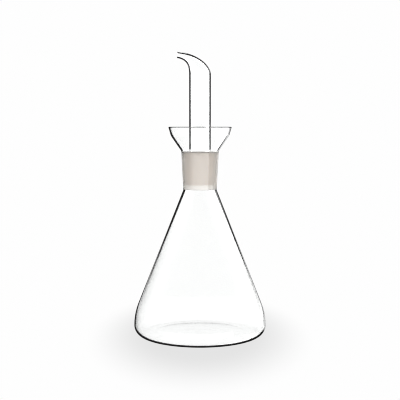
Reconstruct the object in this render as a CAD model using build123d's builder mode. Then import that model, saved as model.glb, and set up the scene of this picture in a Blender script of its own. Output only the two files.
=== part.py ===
"""Anti-drip oil bottle of blown borosilicate glass.

The flask is three pieces fused in a row: a conical body, a ground tapered neck and a funnel
that catches drips. The pourer is two more, fused to each other: a hollow ground stopper that
drops into the neck, and a tube that bends and narrows into a beak. The pourer lifts out.

Millimetres, +Z up. The origin is the centre of the base, on the surface that it stands on,
and the beak points along -X.
"""

import os
from build123d import *

# Ground joint: a 1:10 taper on diameter, 29.2 mm at its wide end and 32 mm long
joint_major_d = 29.2
joint_length = 32.0
joint_slope = 1 / 20  # change of radius per height
joint_clearance = 0.05  # radial, all along the seated stopper

# Heights
neck_bottom_z = 128.2
neck_top_z = neck_bottom_z + joint_length
funnel_rim_z = 182.6

# Flask body
body_max_d = 115.8
body_wall = 1.0
base_wall = 1.4
punt_height = 2.0
foot_inner_r = 42.0
heel_r = 9.0
belly_r = 50.0
belly_corner_z = 18.8
neck_wall = 1.6

# Drip funnel
funnel_rim_d = 55.2
funnel_wall = 1.3
funnel_waist_z = 161.8
funnel_waist_r = 16.4
funnel_lip_z = 174.8
funnel_lip_r = 25.4

# Stopper
stopper_top_z = 160.0
stopper_bottom_z = 132.4
stopper_wall = 1.4
groove_r = 1.2
groove_lift = 0.3  # the groove's centre line stands this far off the ground face
shoulder_rise = 1.2

# Spout: the tube, and the bend's back and belly as curves between their control points (x, z)
tube_d = 18.8
tube_wall = 1.3
tube_bottom_z = 163.4
bend_start_z = 227.8
tube_r = tube_d / 2
bend_back = ((tube_r, bend_start_z), (tube_r, 233.6), (1.6, 244.8), (-19.5, 247.4))
bend_belly = ((-tube_r, bend_start_z), (-tube_r, 235.5), (-11.6, 240.4), (-19.9, 241.7))
bend_stations = 9
belly_lag = 1.4  # keeps each section square to the bend: the belly is the shorter side

body_max_r = body_max_d / 2
funnel_rim_r = funnel_rim_d / 2
tube_bore_r = tube_r - tube_wall
foot_z = 0.0


def socket_r(z):
    """Radius of the neck's ground bore at height z."""
    return joint_major_d / 2 - (neck_top_z - z) * joint_slope


def stopper_r(z):
    """Radius of the stopper's ground face at height z."""
    return socket_r(z) - joint_clearance


neck_bottom_r = socket_r(neck_bottom_z)
neck_top_r = socket_r(neck_top_z)


# Flask body: conical, with a rounded heel, a flat foot ring and a base that rises a little inside
# it. The wall thickens towards the neck, where the blown glass stays heaviest.
inner_max_r = body_max_r - body_wall
shoulder_out_z = neck_bottom_z - 0.6
shoulder_in_z = neck_bottom_z - 1.6
punt_top_z = punt_height + base_wall
dome_r = (foot_inner_r**2 + punt_height**2) / (2 * punt_height)  # centred on the axis

with BuildPart() as flask_body:
    with BuildSketch(Plane.XZ):
        with BuildLine():
            outside = FilletPolyline(
                (foot_inner_r, foot_z),
                (body_max_r, foot_z),
                (body_max_r, belly_corner_z),
                (neck_bottom_r + neck_wall, shoulder_out_z),
                (neck_bottom_r + neck_wall, neck_bottom_z),
                radius=(heel_r, belly_r, 2.5),
            )
            inside = FilletPolyline(
                (neck_bottom_r, neck_bottom_z),
                (neck_bottom_r, shoulder_in_z),
                (inner_max_r, belly_corner_z + 0.6),
                (inner_max_r, base_wall),
                (foot_inner_r, base_wall),
                radius=(3.0, belly_r - body_wall - 1.0, heel_r - body_wall - 0.2),
            )
            Line(outside @ 1, inside @ 0)
            punt_inside = RadiusArc(inside @ 1, (0, punt_top_z), -dome_r)
            Line(punt_inside @ 1, (0, punt_height))
            RadiusArc((0, punt_height), outside @ 0, dome_r)
        make_face()
    revolve(axis=Axis.Z)
flask_body.part.label = "flask_body"


# Neck socket: a plain tube with the taper ground into its bore
with BuildPart() as neck_socket:
    with BuildSketch(Plane.XZ):
        with BuildLine():
            Polyline(
                (neck_bottom_r, neck_bottom_z),
                (neck_bottom_r + neck_wall, neck_bottom_z),
                (neck_top_r + neck_wall, neck_top_z),
                (neck_top_r, neck_top_z),
                close=True,
            )
        make_face()
    revolve(axis=Axis.Z)
neck_socket.part.label = "neck_socket"


# Drip funnel: flares from the neck, steepens into a lip and ends in a fire-polished rim
with BuildPart() as drip_funnel:
    with BuildSketch(Plane.XZ):
        with BuildLine():
            outside = FilletPolyline(
                (neck_top_r + neck_wall, neck_top_z),
                (funnel_waist_r, funnel_waist_z),
                (funnel_lip_r, funnel_lip_z),
                (funnel_rim_r, funnel_rim_z),
                radius=(4.0, 12.0),
            )
            inside = FilletPolyline(
                (funnel_rim_r - funnel_wall, funnel_rim_z),
                (funnel_lip_r - funnel_wall - 0.1, funnel_lip_z + 0.6),
                (funnel_waist_r - funnel_wall, funnel_waist_z + 0.8),
                (neck_top_r, neck_top_z),
                radius=(12.0, 4.0),
            )
            Line(outside @ 1, inside @ 0)
            Line(inside @ 1, outside @ 0)
        make_face()
    revolve(axis=Axis.Z)
    rim_edges = drip_funnel.edges().group_by(Axis.Z)[-1]
    fillet(rim_edges, radius=funnel_wall * 0.45)
drip_funnel.part.label = "drip_funnel"


# Stopper cone: hollow, ground outside to fit the neck, with a sloping shoulder that rises into the
# tube. The groove runs down the ground face behind the beak: drips go back through it, and air
# comes in through it while the oil runs out.
stopper_bore_top_r = stopper_r(stopper_top_z) - stopper_wall
stopper_bore_bottom_r = stopper_r(stopper_bottom_z) - stopper_wall
crown_z = stopper_top_z + shoulder_rise
groove_bottom_z = stopper_bottom_z - 2
groove_top_z = crown_z + 1

with BuildPart() as stopper_cone:
    with BuildSketch(Plane.XZ):
        with BuildLine():
            outside = FilletPolyline(
                (stopper_r(stopper_bottom_z), stopper_bottom_z),
                (stopper_r(stopper_top_z), stopper_top_z),
                (tube_r, crown_z),
                (tube_r, tube_bottom_z),
                radius=(0.6, 1.0),
            )
            inside = FilletPolyline(
                (tube_bore_r, tube_bottom_z),
                (tube_bore_r, crown_z - stopper_wall + 0.4),
                (stopper_bore_top_r, stopper_top_z - stopper_wall),
                (stopper_bore_bottom_r, stopper_bottom_z),
                radius=(1.0, 1.6),
            )
            Line(outside @ 1, inside @ 0)
            Line(inside @ 1, outside @ 0)
        make_face()
    revolve(axis=Axis.Z)
    with BuildLine(Plane.XZ) as groove_line:
        Line(
            (stopper_r(groove_bottom_z) + groove_lift, groove_bottom_z),
            (stopper_r(groove_top_z) + groove_lift, groove_top_z),
        )
    with BuildSketch(Plane(groove_line.line @ 0, z_dir=groove_line.line % 0)):
        Circle(groove_r)
    sweep(path=groove_line.line, mode=Mode.SUBTRACT)
stopper_cone.part.label = "stopper_cone"


# Spout tube: straight, then bent over and drawn down to a beak. Each round section of the bend
# spans from the belly to the back, and the bore follows one wall inside.
with BuildLine(Plane.XZ) as back:
    Bezier(*bend_back)
with BuildLine(Plane.XZ) as belly:
    Bezier(*bend_belly)

bend_sections = []
for station in range(bend_stations):
    share = station / (bend_stations - 1)
    low = belly.line @ share**belly_lag
    span = back.line @ share - low
    place = Plane(low + span / 2, x_dir=span, z_dir=span.cross(Vector(0, 1, 0)))
    bend_sections.append((place, span.length / 2))

with BuildPart() as spout_tube:
    with BuildSketch(Plane.XY.offset(tube_bottom_z)):
        Circle(tube_r)
    extrude(amount=bend_start_z - tube_bottom_z)
    for place, section_r in bend_sections:
        with BuildSketch(place):
            Circle(section_r)
    loft()
    with BuildSketch(Plane.XY.offset(tube_bottom_z)):
        Circle(tube_r - tube_wall)
    extrude(amount=bend_start_z - tube_bottom_z, mode=Mode.SUBTRACT)
    for place, section_r in bend_sections:
        with BuildSketch(place):
            Circle(section_r - tube_wall)
    loft(mode=Mode.SUBTRACT)
spout_tube.part.label = "spout_tube"


os.makedirs("parts", exist_ok=True)
for piece in (flask_body, neck_socket, drip_funnel, stopper_cone, spout_tube):
    export_step(piece.part, f"parts/{piece.part.label}.step")
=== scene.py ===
"""Looks of the anti-drip glass oil bottle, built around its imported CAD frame.

Every piece of glass is a closed lathed or lofted mesh that stands for one CAD node. Sizes that the
frame doesn't show, such as walls and hidden radii, are the ones that the CAD source uses, in
metres.
"""

import math

import bpy
import numpy as np
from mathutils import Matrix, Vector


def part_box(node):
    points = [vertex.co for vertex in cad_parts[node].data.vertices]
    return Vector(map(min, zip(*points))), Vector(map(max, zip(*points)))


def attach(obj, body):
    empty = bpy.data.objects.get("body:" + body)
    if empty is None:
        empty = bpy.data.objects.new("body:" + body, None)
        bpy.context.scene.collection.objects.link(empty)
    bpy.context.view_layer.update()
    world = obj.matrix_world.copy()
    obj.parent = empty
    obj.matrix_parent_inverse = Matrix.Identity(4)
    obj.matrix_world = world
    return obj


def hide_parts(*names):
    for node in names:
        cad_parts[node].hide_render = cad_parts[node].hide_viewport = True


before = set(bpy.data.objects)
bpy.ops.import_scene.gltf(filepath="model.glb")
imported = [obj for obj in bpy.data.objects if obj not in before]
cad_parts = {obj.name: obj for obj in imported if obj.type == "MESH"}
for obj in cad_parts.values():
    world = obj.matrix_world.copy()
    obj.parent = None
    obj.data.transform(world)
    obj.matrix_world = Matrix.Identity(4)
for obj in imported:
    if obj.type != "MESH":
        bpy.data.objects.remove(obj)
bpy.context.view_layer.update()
scene = bpy.context.scene

MM = 0.001
ON_AXIS = 1e-9  # a smaller radius is a point on the axis

# ---------------------------------------------------------------- sizes, from the frame
body_low, body_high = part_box("flask_body")
neck_low, neck_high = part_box("neck_socket")
funnel_low, funnel_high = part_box("drip_funnel")
stopper_low, stopper_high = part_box("stopper_cone")
spout_low, spout_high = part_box("spout_tube")

body_r = body_high.x
neck_bottom_z, neck_top_z = neck_low.z, neck_high.z
funnel_rim_z = funnel_high.z
stopper_bottom_z, tube_bottom_z = stopper_low.z, stopper_high.z
tube_r = spout_high.y

# ---------------------------------------------------------------- sizes that the CAD source names
joint_slope = 1 / 20
joint_clearance = 0.05 * MM
body_wall = 1.0 * MM
base_wall = 1.4 * MM
punt_height = 2.0 * MM
foot_inner_r = 42.0 * MM
neck_wall = 1.6 * MM

# The body's corners, outside and inside: heel, belly and shoulder
heel_r, heel_inner_r = 9.0 * MM, 7.8 * MM
belly_r, belly_inner_r = 50.0 * MM, 48.0 * MM
belly_corner_z, belly_inner_corner_z = 18.8 * MM, 19.4 * MM
shoulder_r, shoulder_inner_r = 2.5 * MM, 3.0 * MM
shoulder_drop, shoulder_inner_drop = 0.6 * MM, 1.6 * MM  # below the neck's lower end

# The funnel's corners as (radius, height), and their roundings
funnel_wall = 1.3 * MM
funnel_rim_r = 27.6 * MM
funnel_waist, funnel_inner_waist = (16.4 * MM, 161.8 * MM), (15.1 * MM, 162.6 * MM)
funnel_lip, funnel_inner_lip = (25.4 * MM, 174.8 * MM), (24.0 * MM, 175.4 * MM)
waist_r, lip_r = 4.0 * MM, 12.0 * MM
rim_r = 0.45 * funnel_wall

stopper_top_z = 160.0 * MM
stopper_wall = 1.4 * MM
crown_z = stopper_top_z + 1.2 * MM  # where the shoulder meets the tube
crown_r, crown_inner_r = 1.0 * MM, 1.0 * MM
stopper_corner_r, stopper_inner_corner_r = 0.6 * MM, 1.6 * MM
crown_thinning = 0.4 * MM  # how much thinner the wall is at the shoulder's upper corner
groove_r = 1.2 * MM
groove_lift = 0.3 * MM

tube_wall = 1.3 * MM
bend_start_z = 227.8 * MM
bend_length = 28.0 * MM  # nearly, along its middle
# The bend's back and belly are curves between these control points, (x, z) in millimetres.
bend_back = ((9.4, 227.8), (9.4, 233.6), (1.6, 244.8), (-19.5, 247.4))
bend_belly = ((-9.4, 227.8), (-9.4, 235.5), (-11.6, 240.4), (-19.9, 241.7))
belly_lag = 1.4  # keeps each section square to the bend: the belly is the shorter side

# ---------------------------------------------------------------- mesh detail
TURN_STEPS = 256  # facets round a lathed piece
ARC_STEP = math.radians(5)  # longest step along a rounded corner
RUN_STEP = 2.5 * MM  # longest step along a straight run of a profile
SHOULDER_STEP = 0.6 * MM  # the same on the stopper's shoulder
DOME_STEPS = 16  # from the foot to the middle of the base
GROOVE_REACH = math.radians(6)  # half the turn that gets closer facets, for the groove
GROOVE_STEPS = 49
STOPPER_STEPS = 248  # for the rest of the stopper's turn
TUBE_STEPS = 28  # rings up the straight tube
BEND_STATIONS = 56  # rings round the bend
TIP_STEPS = 6  # rings round each side of the tip's edge
CURVE_SAMPLES = 801  # for measuring along the bend's back and belly
SHARP_ANGLE = math.radians(32)  # sharper edges aren't shaded smooth

# Details of the polished and ground edges that the CAD solids leave out
stopper_edge_r = 0.35 * MM
tip_edge_r = 0.4 * MM
painted_rim_shade_z = funnel_rim_z - 1.2 * rim_r  # the rim's painted shade starts here: a dark tint for the outline that its edge shows
ground_top_z = neck_top_z + 1.4 * MM  # the bore's frosting runs this far up into the funnel
ground_cone_z = crown_z - 0.4 * MM  # and the cone's ends here, on its shoulder

CLEAR, RIM_SHADE, BORE, CONE, SEAM = range(5)  # material slots, the same on every piece


def neck_bore_r(z):
    """Radius of the neck's ground bore at height z."""
    return neck_high.x - neck_wall - (neck_top_z - z) * joint_slope


def stopper_face_r(z):
    """Radius of the stopper's ground face at height z."""
    return neck_bore_r(z) - joint_clearance


# ---------------------------------------------------------------- profiles
def rounded(points, radii):
    """The polyline through points, with an arc of the given radius at each inner corner."""
    points = [np.array(p, float) for p in points]
    path = [points[0]]
    for before, corner, after, radius in zip(points, points[1:], points[2:], radii):
        back, ahead = before - corner, after - corner
        back, ahead = back / np.linalg.norm(back), ahead / np.linalg.norm(ahead)
        half = math.acos(np.clip(back @ ahead, -1, 1)) / 2
        middle = back + ahead
        centre = corner + middle / np.linalg.norm(middle) * radius / math.sin(half)
        start = corner + back * radius / math.tan(half) - centre
        end = corner + ahead * radius / math.tan(half) - centre
        turn = math.atan2(start[0] * end[1] - start[1] * end[0], start @ end)
        steps = max(2, math.ceil(abs(turn) / ARC_STEP))
        for step in range(steps + 1):
            a = turn * step / steps
            spin = np.array([[math.cos(a), -math.sin(a)], [math.sin(a), math.cos(a)]])
            path.append(centre + spin @ start)
    path.append(points[-1])
    return path


def divided(path, longest=RUN_STEP):
    """The same path with its long runs divided evenly."""
    out = [path[0]]
    for a, b in zip(path, path[1:]):
        steps = max(1, math.ceil(np.linalg.norm(b - a) / longest))
        out += [a + (b - a) * step / steps for step in range(1, steps + 1)]
    return out


def line(*points):
    return [np.array(p, float) for p in points]


def dome(rim, top):
    """The arc from (radius, height) rim to the height top on the axis, centred on the axis."""
    rise = top - rim[1]
    radius = (rim[0] ** 2 + rise**2) / (2 * rise)
    reach = math.asin(rim[0] / radius)
    angles = [reach * (1 - step / DOME_STEPS) for step in range(DOME_STEPS + 1)]
    return [np.array((radius * math.sin(a), top - radius + radius * math.cos(a))) for a in angles]


# ---------------------------------------------------------------- meshes
def mesh_object(name, vertices, faces, slots):
    """A smooth closed mesh with the glass materials in its slots."""
    mesh = bpy.data.meshes.new(name)
    mesh.from_pydata(vertices, [], faces)
    for material in glass_materials:
        mesh.materials.append(material)
    mesh.polygons.foreach_set("material_index", slots)
    mesh.shade_smooth()
    mesh.set_sharp_from_angle(angle=SHARP_ANGLE)
    mesh.validate()
    piece = bpy.data.objects.new(name, mesh)
    scene.collection.objects.link(piece)
    return piece


def surface(name, rings, slots, looped):
    """Skins rings of points. slots[i] is the material between ring i and the next. A ring of one
    point is a pole. looped joins the last ring to the first."""
    vertices, starts = [], []
    for ring in rings:
        starts.append(len(vertices))
        vertices += [tuple(p) for p in ring]
    faces, face_slots = [], []
    pairs = [(i, i + 1) for i in range(len(rings) - 1)]
    if looped:
        pairs.append((len(rings) - 1, 0))
    for (i, j), slot in zip(pairs, slots):
        count = max(len(rings[i]), len(rings[j]))
        for k in range(count):
            n = (k + 1) % count
            here = (starts[i] + k, starts[i] + n) if len(rings[i]) > 1 else (starts[i],)
            there = (starts[j] + n, starts[j] + k) if len(rings[j]) > 1 else (starts[j],)
            faces.append(here + there)
            face_slots.append(slot)
    return mesh_object(name, vertices, faces, face_slots)


def even_turn():
    return [2 * math.pi * step / TURN_STEPS for step in range(TURN_STEPS)]


def lathe(name, runs, looped, angles=None, radius_at=None):
    """Turns a profile about the axis. runs are (path, slot) pairs, each starting where the last one
    ended, and the profile goes anticlockwise in the XZ half-plane, so that the faces look outwards.
    radius_at(radius, height, angle) may cut into the round."""
    angles = angles or even_turn()
    points, slots = [], []
    for path, slot in runs:
        points += path[:-1]
        slots += [slot] * (len(path) - 1)
    if not looped:
        points.append(runs[-1][0][-1])
    rings = []
    for r, z in points:
        if r < ON_AXIS:
            rings.append([(0.0, 0.0, z)])
            continue
        cut = [radius_at(r, z, a) if radius_at else r for a in angles]
        rings.append([(c * math.cos(a), c * math.sin(a), z) for c, a in zip(cut, angles)])
    return surface(name, rings, slots, looped)


def flask_body():
    neck_r = neck_bore_r(neck_bottom_z)
    inner_r = body_r - body_wall
    foot, inner_foot = (foot_inner_r, 0.0), (foot_inner_r, base_wall)
    under = dome(foot, punt_height)[::-1]
    outside = rounded(
        [
            foot,
            (body_r, 0.0),
            (body_r, belly_corner_z),
            (neck_r + neck_wall, neck_bottom_z - shoulder_drop),
            (neck_r + neck_wall, neck_bottom_z),
        ],
        (heel_r, belly_r, shoulder_r),
    )
    inside = rounded(
        [
            (neck_r, neck_bottom_z),
            (neck_r, neck_bottom_z - shoulder_inner_drop),
            (inner_r, belly_inner_corner_z),
            (inner_r, base_wall),
            inner_foot,
        ],
        (shoulder_inner_r, belly_inner_r, heel_inner_r),
    )
    over = dome(inner_foot, base_wall + punt_height)
    runs = [
        (under, CLEAR),
        (divided(outside), CLEAR),
        (line(outside[-1], inside[0]), SEAM),
        (divided(inside), CLEAR),
        (over, CLEAR),
    ]
    return lathe("flask_body_glass", runs, looped=False)


def neck_socket():
    low, high = neck_bore_r(neck_bottom_z), neck_bore_r(neck_top_z)
    runs = [
        (line((low, neck_bottom_z), (low + neck_wall, neck_bottom_z)), SEAM),
        (divided(line((low + neck_wall, neck_bottom_z), (high + neck_wall, neck_top_z))), CLEAR),
        (line((high + neck_wall, neck_top_z), (high, neck_top_z)), SEAM),
        (divided(line((high, neck_top_z), (low, neck_bottom_z))), BORE),
    ]
    return lathe("neck_socket_glass", runs, looped=True)


def drip_funnel():
    bore = neck_bore_r(neck_top_z)
    rim_middle = (funnel_rim_r - funnel_wall / 2, funnel_rim_z)
    outside = rounded(
        [
            (bore + neck_wall, neck_top_z),
            funnel_waist,
            funnel_lip,
            (funnel_rim_r, funnel_rim_z),
            rim_middle,
        ],
        (waist_r, lip_r, rim_r),
    )
    inside = rounded(
        [
            rim_middle,
            (funnel_rim_r - funnel_wall, funnel_rim_z),
            funnel_inner_lip,
            funnel_inner_waist,
            (bore, neck_top_z),
        ],
        (rim_r, lip_r, waist_r),
    )
    outside, inside = divided(outside), divided(inside)
    # The rim's top gets the painted shade, a dark tint that draws its outline.
    rim_shade_start = sum(z < painted_rim_shade_z for _, z in outside)
    rim_shade_end = sum(z > painted_rim_shade_z for _, z in inside)
    ground_start = sum(z > ground_top_z for _, z in inside)
    runs = [
        (outside[:rim_shade_start], CLEAR),
        (outside[rim_shade_start - 1 :], RIM_SHADE),
        (inside[:rim_shade_end], RIM_SHADE),
        (inside[rim_shade_end - 1 : ground_start], CLEAR),
        (inside[ground_start - 1 :], BORE),
        (line(inside[-1], outside[0]), SEAM),
    ]
    return lathe("drip_funnel_glass", runs, looped=True)


def groove_cut(r, z, angle):
    """The stopper's outer radius, where the return groove down its +X side cuts into it."""
    centre = stopper_face_r(min(z, stopper_top_z)) + groove_lift
    across = centre * math.sin(angle)
    if math.cos(angle) < 0 or abs(across) >= groove_r:
        return r
    return min(r, centre * math.cos(angle) - math.sqrt(groove_r**2 - across**2))


def stopper_turn():
    """Angles round the stopper, closer together across the groove."""
    fine = list(np.linspace(-GROOVE_REACH, GROOVE_REACH, GROOVE_STEPS))
    coarse = list(np.linspace(GROOVE_REACH, 2 * math.pi - GROOVE_REACH, STOPPER_STEPS))
    return [float(a) for a in fine + coarse[1:-1]]


def stopper_cone():
    bore_r = tube_r - tube_wall
    low_r, high_r = stopper_face_r(stopper_bottom_z), stopper_face_r(stopper_top_z)
    end_middle = (low_r - 2 * stopper_edge_r, stopper_bottom_z)
    outside = rounded(
        [
            end_middle,
            (low_r, stopper_bottom_z),
            (high_r, stopper_top_z),
            (tube_r, crown_z),
            (tube_r, tube_bottom_z),
        ],
        (stopper_edge_r, stopper_corner_r, crown_r),
    )
    inside = rounded(
        [
            (bore_r, tube_bottom_z),
            (bore_r, crown_z - stopper_wall + crown_thinning),
            (high_r - stopper_wall, stopper_top_z - stopper_wall),
            (low_r - stopper_wall, stopper_bottom_z),
            end_middle,
        ],
        (crown_inner_r, stopper_inner_corner_r, stopper_edge_r),
    )
    ground = [p for p in outside if p[1] <= ground_cone_z]
    shoulder = outside[len(ground) - 1 :]
    runs = [
        (divided(ground), CONE),
        (divided(shoulder, SHOULDER_STEP), CLEAR),
        (line(shoulder[-1], inside[0]), SEAM),
        (divided(inside), CLEAR),
    ]

    def outer_cut(r, z, angle):
        on_face = r > stopper_face_r(min(z, stopper_top_z)) - groove_r
        return groove_cut(r, z, angle) if on_face else r

    turn = stopper_turn()
    return lathe("stopper_cone_glass", runs, looped=True, angles=turn, radius_at=outer_cut)


def bezier(control, share):
    """The point at that share of a cubic Bezier's length, in metres."""
    t = np.linspace(0, 1, CURVE_SAMPLES)[:, None]
    p = np.array(control, float) * MM
    curve = (1 - t) ** 3 * p[0] + 3 * t * (1 - t) ** 2 * p[1]
    curve = curve + 3 * t**2 * (1 - t) * p[2] + t**3 * p[3]
    length = np.concatenate([[0], np.cumsum(np.linalg.norm(np.diff(curve, axis=0), axis=1))])
    at = share * length[-1]
    return np.array([np.interp(at, length, curve[:, 0]), np.interp(at, length, curve[:, 1])])


def bend_ring(share, inset, angles):
    """A round section of the bend, between the belly and the back, inset from the outside."""
    low = bezier(bend_belly, share**belly_lag)
    span = bezier(bend_back, share) - low
    centre, radius = low + span / 2, np.linalg.norm(span) / 2
    u = span / (2 * radius)
    radius -= inset
    return [
        (
            centre[0] + radius * u[0] * math.cos(a),
            radius * math.sin(a),
            centre[1] + radius * u[1] * math.cos(a),
        )
        for a in angles
    ]


def spout_tube():
    angles = even_turn()
    heights = list(np.linspace(tube_bottom_z, bend_start_z, TUBE_STEPS))[:-1]
    edge_share = tip_edge_r / bend_length
    shares = list(np.linspace(0, 1 - edge_share, BEND_STATIONS))

    def column(r):
        return [[(r * math.cos(a), r * math.sin(a), z) for a in angles] for z in heights]

    def tip(inner):
        """Rings round the tip's polished edge, from the wall to the middle of its face."""
        rings = []
        for step in range(1, TIP_STEPS + 1):
            a = math.pi / 2 * step / TIP_STEPS
            share = 1 - edge_share * (1 - math.sin(a))
            inset = tip_edge_r * (1 - math.cos(a))
            rings.append(bend_ring(share, tube_wall - inset if inner else inset, angles))
        return rings

    outer = column(tube_r) + [bend_ring(s, 0.0, angles) for s in shares] + tip(False)
    inner = column(tube_r - tube_wall)
    inner += [bend_ring(s, tube_wall, angles) for s in shares] + tip(True)
    rings = outer + inner[::-1]
    slots = [CLEAR] * (len(rings) - 1) + [SEAM]
    return surface("spout_tube_glass", rings, slots, looped=True)


# ---------------------------------------------------------------- materials
GLASS_IOR, NO_BENDING = 1.474, 1.0
# The rim's colour is painted shade: clear glass tinted nearly black, for the dark outline that the
# rim's edge shows.
CLEAR_COLOR, RIM_SHADE_COLOR = (0.992, 0.996, 0.994), (0.10, 0.10, 0.10)
BORE_COLOR, CONE_COLOR = (0.94, 0.91, 0.865), (0.69, 0.60, 0.53)
BORE_CLEAR, CONE_CLEAR = 0.46, 0.10  # how much of the light the frosted faces let through
SMOOTH, FROSTED = 0.0, 0.5
RELIEF_HEIGHT = 0.05 * MM
WAVES = (45.0, 1.0, 0.5)  # a relief is its noise's scale and detail, and its strength
GRAIN = (2600.0, 3.0, 0.35)


def glass(name, color, roughness, transmission, ior=GLASS_IOR, relief=None):
    """Borosilicate glass, smooth or frosted. A relief makes its surface uneven."""
    material = bpy.data.materials.new(name)
    material.use_nodes = True
    nodes, links = material.node_tree.nodes, material.node_tree.links
    nodes.clear()
    output = nodes.new("ShaderNodeOutputMaterial")
    shader = nodes.new("ShaderNodeBsdfPrincipled")
    links.new(shader.outputs["BSDF"], output.inputs["Surface"])
    shader.inputs["Base Color"].default_value = (*color, 1)
    shader.inputs["Roughness"].default_value = roughness
    shader.inputs["IOR"].default_value = ior
    shader.inputs["Transmission Weight"].default_value = transmission
    if relief:
        scale, detail, strength = relief
        where = nodes.new("ShaderNodeTexCoord")
        noise = nodes.new("ShaderNodeTexNoise")
        noise.inputs["Scale"].default_value = scale
        noise.inputs["Detail"].default_value = detail
        bump = nodes.new("ShaderNodeBump")
        bump.inputs["Strength"].default_value = strength
        bump.inputs["Distance"].default_value = RELIEF_HEIGHT
        links.new(where.outputs["Object"], noise.inputs["Vector"])
        links.new(noise.outputs["Fac"], bump.inputs["Height"])
        links.new(bump.outputs["Normal"], shader.inputs["Normal"])
    return material


# Clear glass has the slow waviness of blown glass, and ground glass the grain of the grinding.
# In a fused seam there is the same glass on both sides, so nothing shows.
glass_materials = [
    glass("clear_glass", CLEAR_COLOR, SMOOTH, 1.0, relief=WAVES),
    # The rim's glass is painted shade: a dark tint that draws the rim's outline.
    glass("rim_painted_shade_glass", RIM_SHADE_COLOR, SMOOTH, 1.0, relief=WAVES),
    glass("ground_bore", BORE_COLOR, FROSTED, BORE_CLEAR, relief=GRAIN),
    glass("ground_cone", CONE_COLOR, FROSTED, CONE_CLEAR, relief=GRAIN),
    glass("fused_seam", (1, 1, 1), SMOOTH, 1.0, ior=NO_BENDING),
]

PIECES = (
    (flask_body, "flask", "flask_body", "clear_glass"),
    (neck_socket, "flask", "neck_socket", "ground_glass"),
    (drip_funnel, "flask", "drip_funnel", "clear_glass"),
    (stopper_cone, "stopper", "stopper_cone", "ground_glass"),
    (spout_tube, "spout", "spout_tube", "clear_glass"),
)
for make, body, node, slot in PIECES:
    piece = make()
    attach(piece, body)
    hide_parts(node)


# ---------------------------------------------------------------- floor
PALE = 0.991  # the floor and all that the camera sees behind the bottle
PAINTED_SHADOW = 0.775  # the painted shadow under the bottle
PAINTED_SHADOW_EDGE = (0.58, 1.42)  # where the painted shadow starts to fade and ends, in its half-sizes
# The painted shadow's half-sizes, and how far its middle lies towards +Y.
painted_shadow_half_x, painted_shadow_half_y = 72 * MM, 140 * MM
painted_shadow_centre_y = 9 * MM
floor_half = 1.5
floor_drop = 0.02 * MM  # keeps the floor's surface off the foot's


def floor():
    """A pale floor with a soft painted shadow under and round the bottle. The glass doesn't see it,
    because the studio's screen goes on below the bottle."""
    mesh = bpy.data.meshes.new("studio_floor")
    signs = ((-1, -1), (1, -1), (1, 1), (-1, 1))
    corners = [(floor_half * x, floor_half * y, 0) for x, y in signs]
    mesh.from_pydata(corners, [], [(0, 1, 2, 3)])
    plane = bpy.data.objects.new("studio_floor", mesh)
    plane.location.z = -floor_drop
    scene.collection.objects.link(plane)
    material = bpy.data.materials.new("studio_floor")
    material.use_nodes = True
    nodes, links = material.node_tree.nodes, material.node_tree.links
    nodes.clear()
    output = nodes.new("ShaderNodeOutputMaterial")
    glow = nodes.new("ShaderNodeEmission")
    where = nodes.new("ShaderNodeTexCoord")
    place = nodes.new("ShaderNodeMapping")
    place.vector_type = "TEXTURE"
    place.inputs["Location"].default_value = (0, painted_shadow_centre_y, 0)
    place.inputs["Scale"].default_value = (painted_shadow_half_x, painted_shadow_half_y, 1)
    reach = nodes.new("ShaderNodeVectorMath")
    reach.operation = "LENGTH"
    # The floor's glow is darker near the bottle: a painted shadow.
    level = nodes.new("ShaderNodeMapRange")
    level.interpolation_type = "SMOOTHSTEP"
    level.inputs["From Min"].default_value, level.inputs["From Max"].default_value = PAINTED_SHADOW_EDGE
    level.inputs["To Min"].default_value = PAINTED_SHADOW
    level.inputs["To Max"].default_value = PALE
    links.new(where.outputs["Object"], place.inputs["Vector"])
    links.new(place.outputs["Vector"], reach.inputs[0])
    links.new(reach.outputs["Value"], level.inputs["Value"])
    links.new(level.outputs["Result"], glow.inputs["Color"])
    links.new(glow.outputs["Emission"], output.inputs["Surface"])
    mesh.materials.append(material)
    plane.visible_transmission = False
    plane.visible_glossy = False
    plane.visible_diffuse = False
    plane.visible_shadow = False


floor()

# ---------------------------------------------------------------- studio
# Angles are in degrees. Azimuth goes from the far side, +Y, towards +X, and elevation goes up from
# the horizon. A band is where it starts, where it is full, where it starts to fade and where it
# ends. Depth counts the glass surfaces that light has crossed on its way: a wall has two.
DEGREES = 180 / math.pi
AT_LEAST_ONCE = 0.5
NO_WALL, ONE_WALL, TWO_WALLS = 0.5, 2.5, 4.5  # the limits of depth

# Light straight through the glass: a bright screen all round, dark above
SCREEN, DARK = 0.96, 0.03
SCREEN_TOP = (26.0, 32.0)
BARS, BAR_GAIN = 8, 0.7  # upright bars round the screen, brighter by up to this share
CLEARING = 1.047  # makes up for the light that each surface mirrors away
RIGHT_GAIN, RIGHT_ACROSS = 0.7, (3.0, 10.0, 50.0, 65.0)

# Light that the ground glass scatters: some from everywhere, and more from the front and back,
# from above and below, and from the right
SOFT, SOFT_FRONT, SOFT_TOP, SOFT_RIGHT = 0.32, 1.15, 1.6, 0.15

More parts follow.
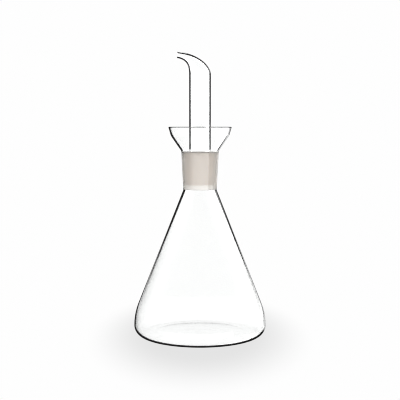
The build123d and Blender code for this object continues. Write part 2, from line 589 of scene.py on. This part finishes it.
# Light that the glass mirrors: a dark room, whose bright parts thin out the dark outlines
ROOM = 0.03
SKY_UP = (-0.3, 1.0)
GROUND_UP, GROUND_TOP = (-45.0, -35.0), (-6.0, -4.0)
MIDDLE_TOP, MIDDLE_ACROSS = (-0.5, 1.0), (7.0, 10.0)
RIGHT_PATCH, RIGHT_PATCH_ACROSS = 0.85, (2.0, 8.0, 40.0, 50.0)
RIGHT_PATCH_LOW = (-19.0, -14.0, -1.5, 0.5)
RIGHT_PATCH_HIGH, HIGH_SHARE = (4.5, 7.5, 16.0, 22.0), 0.35
FLAG_SLOPE, FLAG_EDGE = 0.28, (1.0, 2.0)  # a dark slanting strip across the right patch
LEFT_PATCH, LEFT_PATCH_ACROSS = 0.45, (-34.0, -28.0, -14.0, -10.0)
LEFT_PATCH_UP = (-4.6, -3.6, -1.6, -0.8)
BOX, BOX_ACROSS, BOX_UP = 3.0, (-59.0, -56.5, 30.0, 80.0), (-13.0, -11.5, -5.0, -3.0)

world = bpy.data.worlds.new("studio")
scene.world = world
world.use_nodes = True
world_nodes, world_links = world.node_tree.nodes, world.node_tree.links
world_nodes.clear()


def value(operation, *inputs):
    """One operation in the world's shader, on numbers and on other results."""
    node = world_nodes.new("ShaderNodeMath")
    node.operation = operation
    for socket, given in zip(node.inputs, inputs):
        if isinstance(given, (int, float)):
            socket.default_value = given
        else:
            world_links.new(given, socket)
    return node.outputs[0]


def product(first, *others):
    for other in others:
        first = value("MULTIPLY", first, other)
    return first


def ramp(given, start, end, before=0.0, after=1.0):
    """A smooth ramp from before to after, as given goes from start to end."""
    node = world_nodes.new("ShaderNodeMapRange")
    node.interpolation_type = "SMOOTHSTEP"
    world_links.new(given, node.inputs["Value"])
    names = ("From Min", "From Max", "To Min", "To Max")
    for name, number in zip(names, (start, end, before, after)):
        node.inputs[name].default_value = number
    return node.outputs["Result"]


def fade(given, edge):
    return ramp(given, *edge, 1.0, 0.0)


def band(given, edges, share=1.0):
    start, full, fading, end = edges
    return product(ramp(given, start, full, 0.0, share), fade(given, (fading, end)))


def pick(flag, yes, no):
    return value("MULTIPLY_ADD", value("SUBTRACT", yes, no), flag, no)


def light_through(azimuth, elevation, depth):
    bars = value("COSINE", value("MULTIPLY", azimuth, BARS / DEGREES))
    bars = value("MULTIPLY_ADD", bars, -BAR_GAIN / 2, 1.0 + BAR_GAIN / 2)
    right = value("MULTIPLY_ADD", band(azimuth, RIGHT_ACROSS), RIGHT_GAIN, 1.0)
    screen = product(fade(elevation, SCREEN_TOP), right, value("POWER", CLEARING, depth), bars)
    return value("MULTIPLY_ADD", screen, SCREEN - DARK, DARK)


def light_scattered(x, y, z):
    from_right = value("MULTIPLY", x, SOFT_RIGHT)
    level = value("MULTIPLY_ADD", value("MULTIPLY", y, y), SOFT_FRONT, from_right)
    return value("ADD", level, value("MULTIPLY_ADD", value("MULTIPLY", z, z), SOFT_TOP, SOFT))


def light_mirrored(azimuth, front_azimuth, elevation, depth):
    """Mirrored light that has crossed more than one wall comes from the sky and the ground, which
    are joined on the far side for light that has crossed no more than two. Other mirrored light
    comes from the two patches, and from the box in front if it has crossed no glass at all."""
    past_wall = value("GREATER_THAN", depth, ONE_WALL)
    middle = product(
        value("LESS_THAN", depth, TWO_WALLS),
        fade(elevation, MIDDLE_TOP),
        fade(value("ABSOLUTE", azimuth), MIDDLE_ACROSS),
    )
    ground = value("MAXIMUM", fade(elevation, GROUND_TOP), middle)
    ground = product(ground, ramp(elevation, *GROUND_UP))
    room = product(past_wall, value("MAXIMUM", ramp(elevation, *SKY_UP), ground))

    up = value(
        "MAXIMUM",
        band(elevation, RIGHT_PATCH_LOW),
        band(elevation, RIGHT_PATCH_HIGH, HIGH_SHARE),
    )
    flag = value("ABSOLUTE", value("MULTIPLY_ADD", azimuth, FLAG_SLOPE, elevation))
    before_wall = value("SUBTRACT", 1.0, past_wall)
    right = product(band(azimuth, RIGHT_PATCH_ACROSS), up, ramp(flag, *FLAG_EDGE), before_wall)
    left = band(azimuth, LEFT_PATCH_ACROSS, LEFT_PATCH)
    left = product(left, band(elevation, LEFT_PATCH_UP), before_wall)
    bright = value("MAXIMUM", room, left)
    bright = value("MAXIMUM", bright, value("MULTIPLY", right, RIGHT_PATCH))
    level = value("MULTIPLY_ADD", bright, 1.0 - ROOM, ROOM)

    box = product(band(front_azimuth, BOX_ACROSS), band(elevation, BOX_UP))
    box = product(box, value("LESS_THAN", depth, NO_WALL))
    return value("MULTIPLY_ADD", box, BOX, level)


def studio():
    """Bright-field light for glass. The bottle is seen against a bright screen, whose light goes
    through its walls, and their edges mirror a dark room, which draws the outlines."""
    path = world_nodes.new("ShaderNodeLightPath")
    where = world_nodes.new("ShaderNodeTexCoord")
    parts = world_nodes.new("ShaderNodeSeparateXYZ")
    world_links.new(where.outputs["Generated"], parts.inputs["Vector"])
    x, y, z = parts.outputs
    elevation = value("MULTIPLY", value("ARCSINE", z), DEGREES)
    azimuth = value("MULTIPLY", value("ARCTAN2", x, y), DEGREES)
    front_azimuth = value("ARCTAN2", x, value("MULTIPLY", y, -1.0))
    front_azimuth = value("MULTIPLY", front_azimuth, -DEGREES)  # from -Y towards -X
    depth = path.outputs["Transmission Depth"]

    through = light_through(azimuth, elevation, depth)
    mirrored = light_mirrored(azimuth, front_azimuth, elevation, depth)
    was_mirrored = value("GREATER_THAN", path.outputs["Glossy Depth"], AT_LEAST_ONCE)
    was_scattered = value("GREATER_THAN", path.outputs["Diffuse Depth"], AT_LEAST_ONCE)
    light = pick(was_mirrored, mirrored, through)
    light = pick(was_scattered, light_scattered(x, y, z), light)

    seen = world_nodes.new("ShaderNodeBackground")
    seen.inputs["Color"].default_value = (PALE, PALE, PALE, 1)
    cast = world_nodes.new("ShaderNodeBackground")
    cast.inputs["Color"].default_value = (1, 1, 1, 1)
    world_links.new(light, cast.inputs["Strength"])
    mix = world_nodes.new("ShaderNodeMixShader")
    output = world_nodes.new("ShaderNodeOutputWorld")
    world_links.new(path.outputs["Is Camera Ray"], mix.inputs["Fac"])
    world_links.new(cast.outputs["Background"], mix.inputs[1])
    world_links.new(seen.outputs["Background"], mix.inputs[2])
    world_links.new(mix.outputs["Shader"], output.inputs["Surface"])


studio()

# ---------------------------------------------------------------- camera
camera_distance = 0.780
camera_height = 0.182
camera_pitch = math.radians(4.63)
camera_lens, camera_sensor = 80.604, 36.0  # millimetres

camera_data = bpy.data.cameras.new("camera")
camera_data.sensor_width = camera_sensor
camera_data.lens = camera_lens
camera = bpy.data.objects.new("camera", camera_data)
scene.collection.objects.link(camera)
camera.location = (0, -camera_distance, camera_height)
camera.rotation_euler = (math.pi / 2 - camera_pitch, 0, 0)
scene.camera = camera

# Light crosses many surfaces of glass on its way, and is mirrored at most twice.
scene.view_settings.view_transform = "Standard"
scene.cycles.max_bounces = 32
scene.cycles.transmission_bounces = 32
scene.cycles.glossy_bounces = 2
scene.cycles.diffuse_bounces = 12
scene.cycles.transparent_max_bounces = 16
scene.cycles.blur_glossy = 0.0
scene.cycles.filter_width = 1.05
scene.cycles.use_denoising = True
